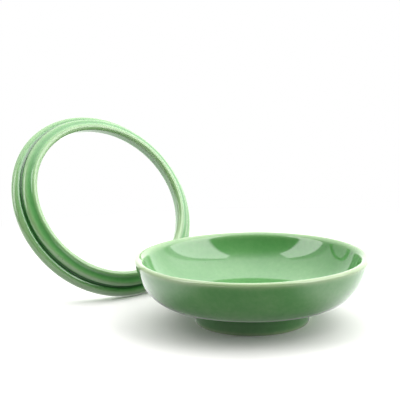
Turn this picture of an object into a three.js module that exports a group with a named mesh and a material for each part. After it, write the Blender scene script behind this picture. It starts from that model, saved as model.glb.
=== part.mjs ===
// A desk ink dish in green glazed ceramic: a shallow footed dish and its stepped cover ring.
// Millimetres, +Z up. The dish stands on its foot. The cover ring is off the dish: it stands
// on its edge behind the dish, leaning back, with its stepped face towards the dish.
import * as THREE from "three";

// Dish: a full, nearly upright outer wall on a turned foot, and a rounder bowl inside it. The
// rim is rounded tightly outside and rolls over more slowly into the bowl.
const RIM_RADIUS = 65;
const RIM_HEIGHT = 37;
const RIM_ROUNDING = 1.6;
const RIM_ROLL = 3.6;
const BELLY_PULL = 0.88;
const SHOULDER_PULL = 0.948;
const SHOULDER_RISE = 0.61;
const FOOT_TOP_RADIUS = 33.5;
const FOOT_TOP_HEIGHT = 10.6;
const FOOT_BOTTOM_RADIUS = 31.9;
const FOOT_EDGE = 0.8;
const REST_FACE_WIDTH = 3.6;
const RECESS_HEIGHT = 6.5;
const RECESS_DRAFT = 0.7;
const BOWL_HEIGHT = 12;
const BOWL_SLOPE_DEGREES = 70;
const BOWL_SIDE_PULL = 18;
const BOWL_FLOOR_PULL = 40;

// Cover ring: three concentric rounded steps, given by the centre (radius, height) and the
// rounding of each. Height 0 is the middle of the outer bead, and heights grow towards the
// stepped face.
const OUTER_BEAD = { radius: 58.5, height: 0, rounding: 3.4 };
const MIDDLE_BEAD = { radius: 54.4, height: 5.4, rounding: 2.8 };
const INNER_LIP = { radius: 51.0, height: 8.0, rounding: 2.3 };
const STEP_GROOVE = { radius: 56.8, height: 3.0 };
const LIP_GROOVE = { radius: 53.2, height: 7.2 };
const COVER_BACK_WIDTH = 3.2;
const HOLE_BACK_HEIGHT = 3.6;
const HOLE_DRAFT = 0.6;

// Where the cover ring stands, from the dish's axis, and how it is turned: its face looks
// towards the dish and is tipped up, so the ring leans back from upright.
const COVER_X = -88.4;
const COVER_Y = 82.4;
const COVER_FACING = THREE.MathUtils.degToRad(-53);
const COVER_TIP = THREE.MathUtils.degToRad(58.3);

const TURN_SEGMENTS = 64;
const WALL_STEPS = 8;
const BOWL_STEPS = 10;
const RIM_STEPS = 3;
const BEAD_STEPS = 7;

const glaze = (name) => new THREE.MeshStandardMaterial({
  name, color: 0x6aa868, roughness: 0.12, metalness: 0,
});

const point = (radius, height) => new THREE.Vector2(radius, height);

// Points on an arc, angles in degrees measured from straight outwards, turning up.
function arc(centre, rounding, fromDegrees, toDegrees, steps) {
  const points = [];
  for (let i = 0; i <= steps; i += 1) {
    const angle = THREE.MathUtils.degToRad(fromDegrees + (toDegrees - fromDegrees) * (i / steps));
    points.push(point(
      centre.radius + rounding * Math.cos(angle),
      centre.height + rounding * Math.sin(angle),
    ));
  }
  return points;
}

const sweep = (start, pullStart, pullEnd, end, steps) => (
  new THREE.CubicBezierCurve(start, pullStart, pullEnd, end).getPoints(steps)
);

// Turns an outline of (radius, height) points into a solid around +Z.
function turned(name, outline) {
  const geometry = new THREE.LatheGeometry(outline, TURN_SEGMENTS);
  geometry.rotateX(Math.PI / 2);
  const mesh = new THREE.Mesh(geometry, glaze(`${name}_glaze`));
  mesh.name = name;
  return mesh;
}

function dish() {
  const restInner = FOOT_BOTTOM_RADIUS - REST_FACE_WIDTH - FOOT_EDGE;
  const crestRadius = RIM_RADIUS - RIM_ROUNDING;
  const edgeCentre = { radius: crestRadius, height: RIM_HEIGHT - RIM_ROUNDING };
  const rollCentre = { radius: crestRadius, height: RIM_HEIGHT - RIM_ROLL };
  const edge = arc(edgeCentre, RIM_ROUNDING, -20, 90, RIM_STEPS);
  const roll = arc(rollCentre, RIM_ROLL, 90, 90 + BOWL_SLOPE_DEGREES, RIM_STEPS);
  const foot = [
    point(0, RECESS_HEIGHT),
    point(restInner - FOOT_EDGE - RECESS_DRAFT, RECESS_HEIGHT),
    point(restInner - FOOT_EDGE, FOOT_EDGE),
    point(restInner, 0),
    point(FOOT_BOTTOM_RADIUS - FOOT_EDGE, 0),
    point(FOOT_BOTTOM_RADIUS, FOOT_EDGE),
  ];
  const outerWall = sweep(
    point(FOOT_TOP_RADIUS, FOOT_TOP_HEIGHT),
    point(RIM_RADIUS * BELLY_PULL, FOOT_TOP_HEIGHT),
    point(RIM_RADIUS * SHOULDER_PULL, RIM_HEIGHT * SHOULDER_RISE),
    edge[0],
    WALL_STEPS,
  );
  const slope = THREE.MathUtils.degToRad(BOWL_SLOPE_DEGREES);
  const bowlTop = roll[roll.length - 1];
  const bowl = sweep(
    bowlTop,
    point(
      bowlTop.x - BOWL_SIDE_PULL * Math.cos(slope),
      bowlTop.y - BOWL_SIDE_PULL * Math.sin(slope),
    ),
    point(BOWL_FLOOR_PULL, BOWL_HEIGHT),
    point(0, BOWL_HEIGHT),
    BOWL_STEPS,
  );
  const outline = [...foot, ...outerWall, ...edge.slice(1), ...roll.slice(1), ...bowl.slice(1)];
  return turned("dish", outline);
}

function coverRing() {
  const backHeight = OUTER_BEAD.height - OUTER_BEAD.rounding;
  const holeRadius = INNER_LIP.radius - INNER_LIP.rounding;
  const outerBead = arc(OUTER_BEAD, OUTER_BEAD.rounding, -90, 96, BEAD_STEPS);
  const middleBead = arc(MIDDLE_BEAD, MIDDLE_BEAD.rounding, -22, 108, BEAD_STEPS);
  const innerLip = arc(INNER_LIP, INNER_LIP.rounding, -16, 180, BEAD_STEPS);
  const back = [
    point(holeRadius + HOLE_DRAFT, HOLE_BACK_HEIGHT),
    point(OUTER_BEAD.radius - COVER_BACK_WIDTH, backHeight),
  ];
  const outline = [
    ...outerBead, point(STEP_GROOVE.radius, STEP_GROOVE.height),
    ...middleBead, point(LIP_GROOVE.radius, LIP_GROOVE.height),
    ...innerLip, ...back, outerBead[0].clone(),
  ];
  const ring = turned("cover_ring", outline);
  ring.rotation.set(0, COVER_TIP, COVER_FACING, "ZYX");
  ring.position.set(COVER_X, COVER_Y, 0);
  ring.updateMatrixWorld(true);
  ring.position.z = -new THREE.Box3().setFromObject(ring, true).min.z;
  return ring;
}

// The origin is on the surface that the pieces stand on, under the middle of the whole set.
const inkDish = new THREE.Group();
inkDish.add(dish(), coverRing());
inkDish.updateMatrixWorld(true);
const middle = new THREE.Box3().setFromObject(inkDish, true).getCenter(new THREE.Vector3());
inkDish.position.set(-middle.x, -middle.y, 0);
inkDish.updateMatrixWorld(true);

export default inkDish;
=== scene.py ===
"""Looks of a green glazed ink dish and its stepped cover ring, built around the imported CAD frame."""

import math

import bpy
import numpy as np
from mathutils import Matrix, Vector, noise


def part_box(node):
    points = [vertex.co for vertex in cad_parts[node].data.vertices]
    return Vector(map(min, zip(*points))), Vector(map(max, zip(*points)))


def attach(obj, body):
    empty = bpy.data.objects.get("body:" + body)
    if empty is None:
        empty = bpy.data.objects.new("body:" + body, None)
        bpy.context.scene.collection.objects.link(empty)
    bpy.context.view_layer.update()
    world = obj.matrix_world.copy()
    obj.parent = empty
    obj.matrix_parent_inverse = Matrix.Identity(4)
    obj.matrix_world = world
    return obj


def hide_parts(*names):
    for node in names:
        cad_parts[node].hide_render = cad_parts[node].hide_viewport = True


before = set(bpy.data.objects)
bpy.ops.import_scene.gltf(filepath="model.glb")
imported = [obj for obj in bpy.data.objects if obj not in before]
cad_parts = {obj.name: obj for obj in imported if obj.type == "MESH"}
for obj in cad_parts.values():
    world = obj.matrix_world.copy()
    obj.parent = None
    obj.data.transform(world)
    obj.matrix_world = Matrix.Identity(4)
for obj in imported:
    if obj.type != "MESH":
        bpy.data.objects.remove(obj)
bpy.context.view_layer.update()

MM = 0.001

# Camera: where it stands from the dish's axis, and how it is aimed.
CAMERA_LEFT = 27.8 * MM
CAMERA_BACK = 541.9 * MM
CAMERA_UP = 159.8 * MM
CAMERA_PITCH = math.radians(9.57)
CAMERA_ROLL = math.radians(-1.14)
CAMERA_LENS = 90
CAMERA_SENSOR = 36

# Dish outline, in mm from its axis and its foot.
RIM_ROUNDING = 1.6
RIM_ROLL = 3.6
BELLY_PULL = 0.88
SHOULDER_PULL = 0.948
SHOULDER_RISE = 0.61
FOOT_TOP = (33.5, 10.6)
FOOT_BOTTOM_RADIUS = 31.9
FOOT_EDGE = 0.8
REST_FACE_WIDTH = 3.6
RECESS_HEIGHT = 6.5
RECESS_SETBACK = 1.6
FLOOR_HEIGHT = 12.0
BOWL_SLOPE = 70
BOWL_PULL = 18.0
FLOOR_PULL = 40.0

# Cover ring: the centre and the rounding of each step, in mm from its axis and its outer bead.
OUTER_BEAD = (58.5, 0.0, 3.4)
MIDDLE_BEAD = (54.4, 5.4, 2.8)
INNER_LIP = (51.0, 8.0, 2.3)

TURN_SEGMENTS = 288

# Hand-made unevenness: how far the walls wander, and the width of one swell, in mm. The noise takes
# its offsets from the clock unless a seed is set, and 0 means the clock too.
WALL_DRIFT = 0.12
SWELL_WIDTH = 28
DRIFT_SEED = 7

# How the section's bends set the glaze's depth: the stretch that counts, in mm, and how strongly.
POOL_REACH = 1.1
POOL_GAIN = 0.75

# Glaze and clay. The stops give the glaze's colour by its depth: 0 on a crest, 1 in a groove.
# The clouds are noise: how fine it is per metre, its detail, and how much it changes the depth.
REST_FACE_LIMIT = 0.05
GLAZE_STOPS = (
    (0.0, (0.38, 0.47, 0.27)), (0.3, (0.20, 0.38, 0.16)), (0.5, (0.095, 0.30, 0.085)),
    (0.75, (0.045, 0.19, 0.045)), (1.0, (0.012, 0.08, 0.016)),
)
MOTTLE = {"scale": 45, "detail": 4, "amount": 0.24}
GRAIN = {"scale": 420, "detail": 2, "amount": 0.12}
GLAZE_IOR = 1.52
GLAZE_ROUGHNESS = 0.06
CLAY_ROUGHNESS = 0.75
DISH_TINT = (1.0, 1.0, 0.97)
COVER_TINT = (0.96, 1.06, 0.96)
CLAY_COLOUR = (0.66, 0.56, 0.43)
SPECK_COLOUR = (0.03, 0.09, 0.02)
SPECKS_PER_METRE = 260
SPECK_STRENGTH = 0.45
PEEL_SCALE = 220
PEEL_HEIGHT = 0.012 * MM
PEEL_STRENGTH = 0.4

# Studio light, as radiance; a sheet that reads just white is 1. This is a stage trick, not how light
# works: the gloss mirrors the full light, the colour under it takes only a share, and the camera
# sees plain white.
DOME_SHARE = 0.67
SOFTBOX_SHARE = 0.5
DOME_LIGHT = 6.0
DOME_TILT = 0.45
# The dome's brightness by its angle in degrees: 0 is the horizon behind, 90 overhead, 180 in front.
DOME_RAMP = (
    (0, 0.46), (24, 0.48), (42, 0.53), (53, 0.67), (69, 0.8), (85, 0.87),
    (95, 0.77), (105, 0.45), (118, 0.14), (135, 0.05), (180, 0.05),
)
# The softboxes stand left and right. Their edges are given on an upright sheet one unit away, as
# distance backwards (inner and outer edge, each with its lean per unit of height) and height.
SOFTBOXES = (
    {"side": 1, "light": 9.3, "height": (0.15, 3.3),
     "inner": (0.25, -0.22), "outer": (-0.87, -0.08), "blur": 0.13},
    {"side": -1, "light": 8.1, "height": (0.22, 2.1),
     "inner": (0.05, -0.06), "outer": (-0.47, -0.12), "blur": 0.05},
)
FRAME_WIDTH = 0.2
FRAME_SHADE = 0.55

# The floor: its tint, how light it is to the camera and as a light source, and how bright it shows
# in the gloss. There it is a glow, not lit paper: a painted shadow in a band that runs under the dish
# from front to back, then painted light beside it. The band is FLOOR_SHIFT to the left of the dish's
# axis. FLOOR_OPEN is how far sideways from the band's middle the painted shadow turns into painted
# light, and FLOOR_CLEAR how far from the axis the floor fades into the white backdrop. All three are
# metres.
FLOOR_HALF = 30.0
FLOOR_DROP = 0.05 * MM
FLOOR_TINT = (1.0, 0.985, 0.975)
FLOOR_SEEN = 0.88
FLOOR_BOUNCE = 0.36
# Painted shadow, then painted light: how bright the floor shows in the gloss under the dish and beside it.
FLOOR_PAINTED_SHADE_AND_LIGHT = (0.36, 2.3)
FLOOR_SHIFT = 0.01
FLOOR_OPEN = (0.04, 0.085)
FLOOR_CLEAR = (0.2, 0.36)


def cubic(p0, p1, p2, p3, steps):
    """Points of a cubic curve, without its first point."""
    points = []
    for i in range(1, steps + 1):
        t = i / steps
        weights = ((1 - t) ** 3, 3 * t * (1 - t) ** 2, 3 * t * t * (1 - t), t ** 3)
        points.append(tuple(sum(w * p[k] for w, p in zip(weights, (p0, p1, p2, p3))) for k in (0, 1)))
    return points


def arc(centre, rounding, start, end, steps):
    """Points on an arc, angles in degrees from straight outwards, turning up."""
    angles = np.radians(np.linspace(start, end, steps + 1))
    return [(centre[0] + rounding * math.cos(a), centre[1] + rounding * math.sin(a)) for a in angles]


def line(start, end, steps):
    """Evenly spaced points on a straight stretch, without its first point."""
    return [
        (start[0] + (end[0] - start[0]) * i / steps, start[1] + (end[1] - start[1]) * i / steps)
        for i in range(1, steps + 1)
    ]


def dish_outline(rim_radius, rim_height):
    """The dish's section from the axis, under the foot, up the outside and back down the inside."""
    rest_outer = FOOT_BOTTOM_RADIUS - FOOT_EDGE
    rest_inner = rest_outer - REST_FACE_WIDTH
    recess_radius = rest_inner - RECESS_SETBACK
    outline = [(0.0, RECESS_HEIGHT)]
    outline += line(outline[-1], (recess_radius - 2.5, RECESS_HEIGHT), 10)
    outline += cubic(outline[-1], (recess_radius - 0.8, RECESS_HEIGHT),
                     (recess_radius, RECESS_HEIGHT - 0.6),
                     (recess_radius + 0.2, RECESS_HEIGHT - 2.2), 8)
    outline += line(outline[-1], (rest_inner - 0.7, 0.8), 4)
    outline += cubic(outline[-1], (rest_inner - 0.5, 0.2), (rest_inner - 0.3, 0.0), (rest_inner, 0.0), 5)
    outline += line(outline[-1], (rest_outer, 0.0), 6)
    outline += cubic(outline[-1], (rest_outer + 0.5, 0.0), (FOOT_BOTTOM_RADIUS, 0.3),
                     (FOOT_BOTTOM_RADIUS + 0.1, 0.9), 6)
    outline += cubic(outline[-1], (FOOT_BOTTOM_RADIUS + 0.4, 3.0), (FOOT_BOTTOM_RADIUS + 0.7, 5.5),
                     (FOOT_TOP[0] - 0.7, FOOT_TOP[1] - 2.6), 10)
    outline += cubic(outline[-1], (FOOT_TOP[0] - 0.4, FOOT_TOP[1] - 0.9),
                     (FOOT_TOP[0] + 0.6, FOOT_TOP[1] - 0.1), (FOOT_TOP[0] + 2.8, FOOT_TOP[1]), 8)
    rim = arc((rim_radius - RIM_ROUNDING, rim_height - RIM_ROUNDING), RIM_ROUNDING, -20, 90, 16)
    outline += cubic(outline[-1], (rim_radius * BELLY_PULL, FOOT_TOP[1]),
                     (rim_radius * SHOULDER_PULL, rim_height * SHOULDER_RISE), rim[0], 46)
    outline += rim[1:]
    roll = arc((rim_radius - RIM_ROUNDING, rim_height - RIM_ROLL), RIM_ROLL, 90, 90 + BOWL_SLOPE, 20)
    outline += roll[1:]
    slope = math.radians(BOWL_SLOPE)
    pull = (roll[-1][0] - BOWL_PULL * math.cos(slope), roll[-1][1] - BOWL_PULL * math.sin(slope))
    outline += cubic(roll[-1], pull, (FLOOR_PULL, FLOOR_HEIGHT), (0.0, FLOOR_HEIGHT), 64)
    return outline


def cover_outline():
    """The cover ring's section, once round: outer bead, middle bead, inner lip, hole and back."""
    outer = arc(OUTER_BEAD, OUTER_BEAD[2], -90, 96, 24)
    middle = arc(MIDDLE_BEAD, MIDDLE_BEAD[2], -22, 70, 18)
    lip = arc(INNER_LIP, INNER_LIP[2], 35, 180, 22)
    outline = list(outer)
    outline += cubic(outer[-1], (57.2, 3.3), (56.8, 3.3), middle[0], 6)
    outline += middle[1:]
    outline += cubic(middle[-1], (54.35, 8.4), (53.3, 8.72), lip[0], 10)
    outline += lip[1:]
    outline += line(lip[-1], (49.2, 4.6), 5)
    outline += cubic(outline[-1], (49.4, 3.2), (49.9, 2.6), (50.8, 1.6), 6)
    outline += line(outline[-1], (54.3, -2.4), 8)
    outline += cubic(outline[-1], (54.9, -3.1), (55.4, -3.3), (56.2, -3.3), 5)
    outline += line(outline[-1], outer[0], 3)
    return outline[:-1]


def pooling(outline, closed):
    """How deep the glaze lies at each outline point: 0 where it draws off a sharp edge, 1 in a hollow."""
    points = np.array(outline)
    count = len(points)
    if closed:
        before, after = np.roll(points, 1, 0), np.roll(points, -1, 0)
    else:
        before, after = np.vstack([points[:1], points[:-1]]), np.vstack([points[1:], points[-1:]])
    leg_in, leg_out = points - before, after - points
    turn = leg_in[:, 0] * leg_out[:, 1] - leg_in[:, 1] * leg_out[:, 0]
    lengths = np.hypot(*leg_in.T) + np.hypot(*leg_out.T)
    turning = np.arctan2(turn, (leg_in * leg_out).sum(1))
    along = np.cumsum(np.hypot(*leg_in.T))
    depth = np.zeros(count)
    for i in range(count):
        gap = np.abs(along - along[i])
        if closed:
            gap = np.minimum(gap, along[-1] - gap)
        weight = np.exp(-0.5 * (gap / POOL_REACH) ** 2)
        depth[i] = (weight * turning).sum() / max((weight * lengths / 2).sum(), 1e-9)
    return np.clip(0.5 - POOL_GAIN * depth, 0.0, 1.0)


def turned(name, outline, closed, place, seed):
    """A body of revolution with slightly uneven walls.

    One attribute says how deep the glaze is, the other where the clay is bare. A closed outline is
    a ring's; an open one starts and ends on the axis and has a rest face at height 0.
    """
    depth = pooling(outline, closed)
    noise.seed_set(DRIFT_SEED)
    ring_sizes = [1 if radius < 1e-6 else TURN_SEGMENTS for radius, _ in outline]
    vertices, depths, bare, first = [], [], [], []
    for (radius, height), size, deep in zip(outline, ring_sizes, depth):
        first.append(len(vertices))
        for k in range(size):
            angle = 2 * math.pi * k / TURN_SEGMENTS
            around = Vector((math.cos(angle), math.sin(angle), 0))
            at = around * radius + Vector((0, 0, height))
            drift = noise.noise_vector(at / SWELL_WIDTH + Vector((seed, 0, 0))) * WALL_DRIFT
            on_rest_face = height < REST_FACE_LIMIT and not closed
            if on_rest_face:
                drift = Vector((0, 0, 0))
            vertices.append(place @ ((at + drift) * MM))
            depths.append(deep)
            bare.append(1.0 if on_rest_face else 0.0)
    faces = []
    spans = len(outline) if closed else len(outline) - 1
    for i in range(spans):
        j = (i + 1) % len(outline)
        for k in range(TURN_SEGMENTS):
            n = (k + 1) % TURN_SEGMENTS
            corners = [first[i] + k % ring_sizes[i], first[i] + n % ring_sizes[i],
                       first[j] + n % ring_sizes[j], first[j] + k % ring_sizes[j]]
            faces.append([v for at, v in enumerate(corners) if v != corners[at - 1]])
    mesh = bpy.data.meshes.new(name)
    mesh.from_pydata(vertices, [], faces)
    mesh.attributes.new("glaze_depth", "FLOAT", "POINT").data.foreach_set("value", depths)
    mesh.attributes.new("bare_clay", "FLOAT", "POINT").data.foreach_set("value", bare)
    mesh.polygons.foreach_set("use_smooth", [True] * len(mesh.polygons))
    mesh.update()
    piece = bpy.data.objects.new(name, mesh)
    bpy.context.scene.collection.objects.link(piece)
    return piece


def cover_place():
    """The cover ring's own frame, read from its CAD node: +Z along its axis, zero at its outer bead."""
    points = np.array([v.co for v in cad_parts["cover_ring"].data.vertices], float)
    centre = points.mean(0)
    axis = np.linalg.svd(points - centre, full_matrices=False)[2][2]
    axis = axis * math.copysign(1, axis[2])
    heights = (points - centre) @ axis
    origin = Vector(centre) + Vector(axis) * (heights.min() + OUTER_BEAD[2] * MM)
    turn = Vector(axis).to_track_quat("Z", "Y").to_matrix().to_4x4()
    return Matrix.Translation(origin) @ turn


def calculate(nodes, links, operation, *values):
    """A math node fed by sockets or plain numbers."""
    node = nodes.new("ShaderNodeMath")
    node.operation = operation
    for socket, value in zip(node.inputs, values):
        if isinstance(value, (int, float)):
            socket.default_value = value
        else:
            links.new(value, socket)
    return node.outputs[0]


def rise(nodes, links, value, start, end, low=0.0, high=1.0):
    """A smooth step from low to high as value goes from start to end."""
    node = nodes.new("ShaderNodeMapRange")
    node.interpolation_type = "SMOOTHSTEP"
    for name, number in (("From Min", start), ("From Max", end), ("To Min", low), ("To Max", high)):
        node.inputs[name].default_value = number
    links.new(value, node.inputs["Value"])
    return node.outputs["Result"]


def blend(nodes, links, share, base, top):
    """The base colour socket with the top colour laid over it by the given share."""
    node = nodes.new("ShaderNodeMix")
    node.data_type = "RGBA"
    links.new(share, node.inputs["Factor"])
    links.new(base, node.inputs["A"])
    node.inputs["B"].default_value = (*top, 1)
    return node.outputs["Result"]


def glaze(name, seed, tint):
    """Gloss green glaze: pale where thin, deep where it pools, with mottling, specks and orange peel."""
    material = bpy.data.materials.new(name)
    material.use_nodes = True
    nodes, links = material.node_tree.nodes, material.node_tree.links
    shader = nodes["Principled BSDF"]
    shader.inputs["IOR"].default_value = GLAZE_IOR
    where = nodes.new("ShaderNodeTexCoord")
    depth = nodes.new("ShaderNodeAttribute")
    depth.attribute_name = "glaze_depth"

    def cloud(scale, detail):
        node = nodes.new("ShaderNodeTexNoise")
        node.noise_dimensions = "4D"
        node.inputs["W"].default_value = seed
        node.inputs["Scale"].default_value = scale
        node.inputs["Detail"].default_value = detail
        links.new(where.outputs["Object"], node.inputs["Vector"])
        return node.outputs["Fac"]

    def calc(operation, *values):
        return calculate(nodes, links, operation, *values)

    mottle, grain = (
        calc("MULTIPLY", calc("SUBTRACT", cloud(kind["scale"], kind["detail"]), 0.5), kind["amount"])
        for kind in (MOTTLE, GRAIN)
    )
    deep = calc("ADD", depth.outputs["Fac"], calc("ADD", mottle, grain))
    ramp = nodes.new("ShaderNodeValToRGB")
    ramp.color_ramp.interpolation = "B_SPLINE"
    for at, _ in GLAZE_STOPS[1:-1]:
        ramp.color_ramp.elements.new(at)
    for element, (at, colour) in zip(ramp.color_ramp.elements, GLAZE_STOPS):
        element.position = at
        element.color = (*(c * t for c, t in zip(colour, tint)), 1)
    links.new(deep, ramp.inputs["Fac"])

    specks = nodes.new("ShaderNodeTexVoronoi")
    specks.inputs["Scale"].default_value = SPECKS_PER_METRE
    links.new(where.outputs["Object"], specks.inputs["Vector"])
    rare = rise(nodes, links, cloud(90, 1), 0.56, 0.62)
    dot = rise(nodes, links, specks.outputs["Distance"], 0.05, 0.13, 1.0, 0.0)
    speck = calc("MULTIPLY", calc("MULTIPLY", dot, rare), SPECK_STRENGTH)
    colour = blend(nodes, links, speck, ramp.outputs["Color"], SPECK_COLOUR)

    bare = nodes.new("ShaderNodeAttribute")
    bare.attribute_name = "bare_clay"
    links.new(blend(nodes, links, bare.outputs["Fac"], colour, CLAY_COLOUR), shader.inputs["Base Color"])
    roughness = rise(nodes, links, bare.outputs["Fac"], 0, 1, GLAZE_ROUGHNESS, CLAY_ROUGHNESS)
    links.new(roughness, shader.inputs["Roughness"])

    bump = nodes.new("ShaderNodeBump")
    bump.inputs["Distance"].default_value = PEEL_HEIGHT
    bump.inputs["Strength"].default_value = PEEL_STRENGTH
    links.new(cloud(PEEL_SCALE, 1), bump.inputs["Height"])
    links.new(bump.outputs["Normal"], shader.inputs["Normal"])
    return material


def make_camera(dish_axis):
    """A camera low in front of the dish, a little to its left, tipped down and rolled slightly."""
    camera = bpy.data.objects.new("camera", bpy.data.cameras.new("camera"))
    bpy.context.scene.collection.objects.link(camera)
    camera.data.lens = CAMERA_LENS
    camera.data.sensor_width = CAMERA_SENSOR
    camera.data.clip_start = 10 * MM
    place = Matrix.Translation((dish_axis.x - CAMERA_LEFT, dish_axis.y - CAMERA_BACK, CAMERA_UP))
    aim = Matrix.Rotation(math.pi / 2 - CAMERA_PITCH, 4, "X") @ Matrix.Rotation(CAMERA_ROLL, 4, "Z")
    camera.matrix_world = place @ aim
    bpy.context.scene.camera = camera


def make_floor(dish_axis):
    """A pale floor that reaches the horizon: paper to the camera; in the gloss a glow with a painted shadow
    under the dish and painted light beside it.
    """
    mesh = bpy.data.meshes.new("floor")
    corners = [(x * FLOOR_HALF, y * FLOOR_HALF, 0) for x, y in ((-1, -1), (1, -1), (1, 1), (-1, 1))]
    mesh.from_pydata(corners, [], [(0, 1, 2, 3)])
    floor = bpy.data.objects.new("floor", mesh)
    bpy.context.scene.collection.objects.link(floor)
    floor.location = (dish_axis.x, dish_axis.y, -FLOOR_DROP)
    material = bpy.data.materials.new("floor_paper")
    material.use_nodes = True
    nodes, links = material.node_tree.nodes, material.node_tree.links
    nodes.clear()
    rays = nodes.new("ShaderNodeLightPath")
    where = nodes.new("ShaderNodeTexCoord")
    distance = nodes.new("ShaderNodeVectorMath")
    distance.operation = "LENGTH"
    links.new(where.outputs["Object"], distance.inputs[0])
    clear = rise(nodes, links, distance.outputs["Value"], *FLOOR_CLEAR)
    # Painted shadow and painted light for the gloss: dim in a band under the dish, bright beside it.
    place = nodes.new("ShaderNodeSeparateXYZ")
    links.new(where.outputs["Object"], place.inputs[0])
    shifted = calculate(nodes, links, "ADD", place.outputs["X"], FLOOR_SHIFT)
    beside = calculate(nodes, links, "ABSOLUTE", shifted)
    painted_shade_and_light = rise(nodes, links, beside, *FLOOR_OPEN, *FLOOR_PAINTED_SHADE_AND_LIGHT)

    colour = nodes.new("ShaderNodeMix")
    colour.data_type = "RGBA"
    colour.blend_type = "MULTIPLY"
    colour.inputs["Factor"].default_value = 1
    colour.inputs["A"].default_value = (*FLOOR_TINT, 1)
    lightness = rise(nodes, links, rays.outputs["Is Diffuse Ray"], 0, 1, FLOOR_SEEN, FLOOR_BOUNCE)
    links.new(lightness, colour.inputs["B"])
    paper = nodes.new("ShaderNodeBsdfDiffuse")
    links.new(colour.outputs["Result"], paper.inputs["Color"])
    white = nodes.new("ShaderNodeEmission")
    # An emission that shows glossy rays the painted shadow and painted light of the floor.
    glow = nodes.new("ShaderNodeEmission")
    links.new(painted_shade_and_light, glow.inputs["Strength"])

    def cover_with(share, base, top):
        mix = nodes.new("ShaderNodeMixShader")
        links.new(share, mix.inputs["Fac"])
        links.new(base, mix.inputs[1])
        links.new(top, mix.inputs[2])
        return mix.outputs[0]

    far = calculate(nodes, links, "MULTIPLY", clear, rays.outputs["Is Camera Ray"])
    seen = cover_with(far, paper.outputs[0], white.outputs[0])
    surface = cover_with(rays.outputs["Is Glossy Ray"], seen, glow.outputs[0])
    output = nodes.new("ShaderNodeOutputMaterial")
    links.new(surface, output.inputs["Surface"])
    mesh.materials.append(material)


def make_world():
    """A white studio: a bright dome above and behind, a dark room in front, a softbox on each side."""
    world = bpy.data.worlds.new("studio")
    bpy.context.scene.world = world
    world.cycles.sampling_method = "NONE"
    world.use_nodes = True
    nodes, links = world.node_tree.nodes, world.node_tree.links
    nodes.clear()

    def calc(operation, *values):
        return calculate(nodes, links, operation, *values)

    def step(value, start, end, low=0.0, high=1.0):
        return rise(nodes, links, value, start, end, low, high)

    where = nodes.new("ShaderNodeTexCoord")
    split = nodes.new("ShaderNodeSeparateXYZ")
    links.new(where.outputs["Generated"], split.inputs[0])
    right, back, up = split.outputs
    ramp = nodes.new("ShaderNodeValToRGB")
    ramp.color_ramp.interpolation = "CARDINAL"
    while len(ramp.color_ramp.elements) < len(DOME_RAMP):
        ramp.color_ramp.elements.new(0.5)
    for element, (angle, share) in zip(ramp.color_ramp.elements, DOME_RAMP):
        element.position = angle / 180
        element.color = (share, share, share, 1)
    links.new(calc("DIVIDE", calc("ARCTAN2", up, back), math.pi), ramp.inputs["Fac"])
    rays = nodes.new("ShaderNodeLightPath")
    colouring = rays.outputs["Is Diffuse Ray"]
    overall = calc("MULTIPLY_ADD", right, DOME_LIGHT * DOME_TILT, DOME_LIGHT)
    dome = calc("MULTIPLY", ramp.outputs["Color"], overall)
    light = calc("MULTIPLY", dome, step(colouring, 0, 1, 1.0, DOME_SHARE))
    for box in SOFTBOXES:
        reach = calc("MULTIPLY", right, box["side"])
        ahead = calc("MAXIMUM", reach, 0.001)
        depth, height = calc("DIVIDE", back, ahead), calc("DIVIDE", up, ahead)
        past_inner = calc("SUBTRACT", depth, calc("MULTIPLY_ADD", height, box["inner"][1], box["inner"][0]))
        past_outer = calc("SUBTRACT", depth, calc("MULTIPLY_ADD", height, box["outer"][1], box["outer"][0]))
        bottom, top = box["height"]
        above_bottom = step(height, bottom - 0.05, bottom + 0.05)
        tall = calc("MULTIPLY", above_bottom, step(height, top * 0.93, top * 1.07, 1.0, 0.0))
        facing = calc("MULTIPLY", tall, step(reach, 0.0, 0.05))
        outer = calc("MULTIPLY", facing, step(past_outer, -box["blur"], box["blur"]))
        inside = calc("MULTIPLY", outer, step(past_inner, -0.03, 0.03, 1.0, 0.0))
        near_box = step(past_inner, FRAME_WIDTH - 0.1, FRAME_WIDTH + 0.1, 1.0, 0.0)
        frame_zone = calc("MULTIPLY", outer, near_box)
        light = calc("MULTIPLY", light, step(frame_zone, 0.0, 1.0, 1.0, FRAME_SHADE))
        shine = step(colouring, 0, 1, box["light"], box["light"] * SOFTBOX_SHARE)
        light = calc("MAXIMUM", light, calc("MULTIPLY", inside, shine))

    lighting = nodes.new("ShaderNodeBackground")
    links.new(light, lighting.inputs["Strength"])
    seen = nodes.new("ShaderNodeBackground")
    seen.inputs["Color"].default_value = (1, 1, 1, 1)
    mix = nodes.new("ShaderNodeMixShader")
    links.new(rays.outputs["Is Camera Ray"], mix.inputs["Fac"])
    links.new(lighting.outputs[0], mix.inputs[1])
    links.new(seen.outputs[0], mix.inputs[2])
    output = nodes.new("ShaderNodeOutputWorld")
    links.new(mix.outputs[0], output.inputs["Surface"])


def make_dish():
    low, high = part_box("dish")
    middle = (low + high) / 2
    place = Matrix.Translation((middle.x, middle.y, 0))
    outline = dish_outline((high.x - low.x) / 2 / MM, high.z / MM)
    piece = turned("glazed_dish", outline, False, place, 3.0)
    piece.data.materials.append(glaze("dish_green_glaze", 1.0, DISH_TINT))
    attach(piece, "dish")
    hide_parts("dish")
    return middle


def make_cover():
    piece = turned("glazed_cover_ring", cover_outline(), True, cover_place(), 9.0)
    piece.data.materials.append(glaze("cover_green_glaze", 6.0, COVER_TINT))
    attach(piece, "cover")
    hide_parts("cover_ring")


dish_axis = make_dish()
make_cover()
make_floor(dish_axis)
make_world()
make_camera(dish_axis)
bpy.context.scene.view_settings.view_transform = "Standard"
